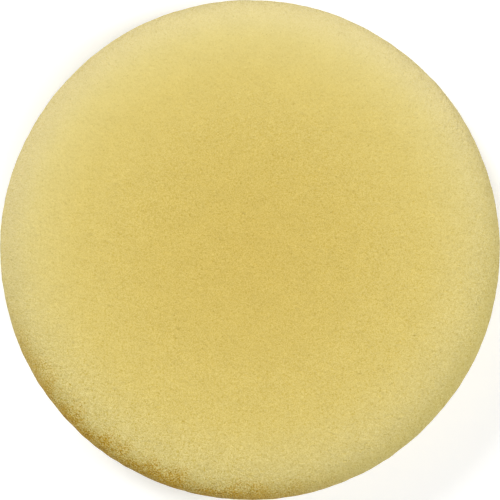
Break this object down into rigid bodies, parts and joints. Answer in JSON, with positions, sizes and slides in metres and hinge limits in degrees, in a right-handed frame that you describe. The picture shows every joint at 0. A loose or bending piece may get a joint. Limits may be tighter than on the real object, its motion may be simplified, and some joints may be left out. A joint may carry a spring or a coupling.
{
  "type": "foam polishing pad",
  "caption": "Round yellow open-cell foam polishing pad with a rounded-over working face and a glued hook-and-loop back with a centring hole, for a machine polisher.",
  "frame": {"origin": "centre of the loop face, which is the plane of the loop tips that the pad rests on", "axes": "+Z is the pad's axis, from the loop face to the working face; X and Y are any two radii, because the pad is round"},
  "size_m": [0.15, 0.15, 0.03],
  "materials": {
    "foam": "matte open-cell polyurethane foam, fine cut cells",
    "glue": "satin hot-melt film",
    "resin": "matte resin coat",
    "loop_cloth": "matte nylon loop fastener"
  },
  "bodies": {
    "backing": {"glue_film": "glue", "resin_coat": "resin", "ground_cloth": "loop_cloth", "loop_pile": "loop_cloth"},
    "foam": {"foam_body": "foam"}
  },
  "joints": [
    {"name": "face_press", "type": "slide", "parent": "backing", "child": "foam", "axis": [0, 0, -1], "range_m": [0, 0.012], "stiffness_N_per_m": 7500, "deforming": ["foam_body"]}
  ]
}
